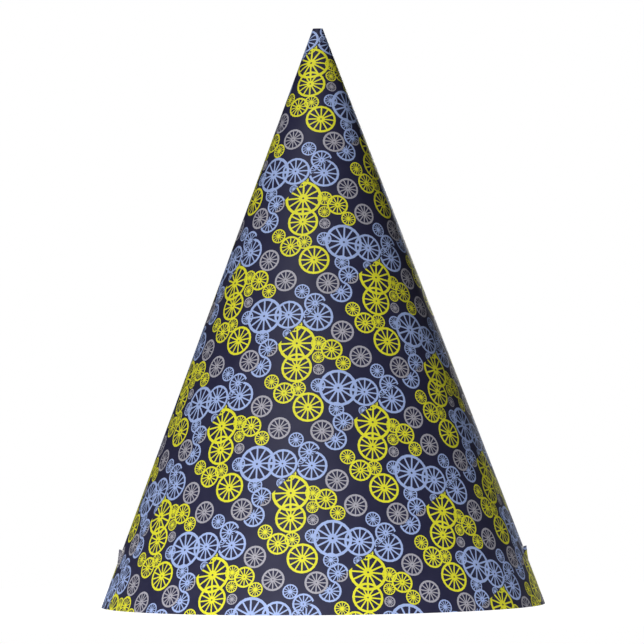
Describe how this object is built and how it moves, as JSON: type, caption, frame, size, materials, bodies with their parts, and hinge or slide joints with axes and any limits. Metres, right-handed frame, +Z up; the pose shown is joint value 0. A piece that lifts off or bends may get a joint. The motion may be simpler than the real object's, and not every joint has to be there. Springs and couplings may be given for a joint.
{
  "type": "cone party hat",
  "caption": "Open cone party hat rolled from one sheet of printed card, lapped and taped at the back, with punched side tabs for a chin cord.",
  "frame": {"origin": "centre of the hat's mouth, on the plane it stands on", "axes": "+Z up the cone's axis to the tip, -Y the front, +X the right as seen from the front, +Y the back, with the lap"},
  "size_m": [0.127, 0.1275, 0.165],
  "materials": {
    "printed_card": "satin",
    "double_sided_tape": "matte"
  },
  "bodies": {
    "hat": {"hat_cone": "printed_card", "seam_tape": "double_sided_tape"},
    "left_tab": {"left_cord_tab": "printed_card"},
    "right_tab": {"right_cord_tab": "printed_card"}
  },
  "joints": [
    {"name": "left_tab_fold", "type": "hinge", "parent": "hat", "child": "left_tab", "pos_m": [-0.05826, -0.00612, 0.01265], "axis": [0.1045, -0.9945, 0], "range_deg": [-12, 78]},
    {"name": "right_tab_fold", "type": "hinge", "parent": "hat", "child": "right_tab", "pos_m": [0.05826, -0.00612, 0.01265], "axis": [0.1045, 0.9945, 0], "range_deg": [-12, 78]}
  ]
}
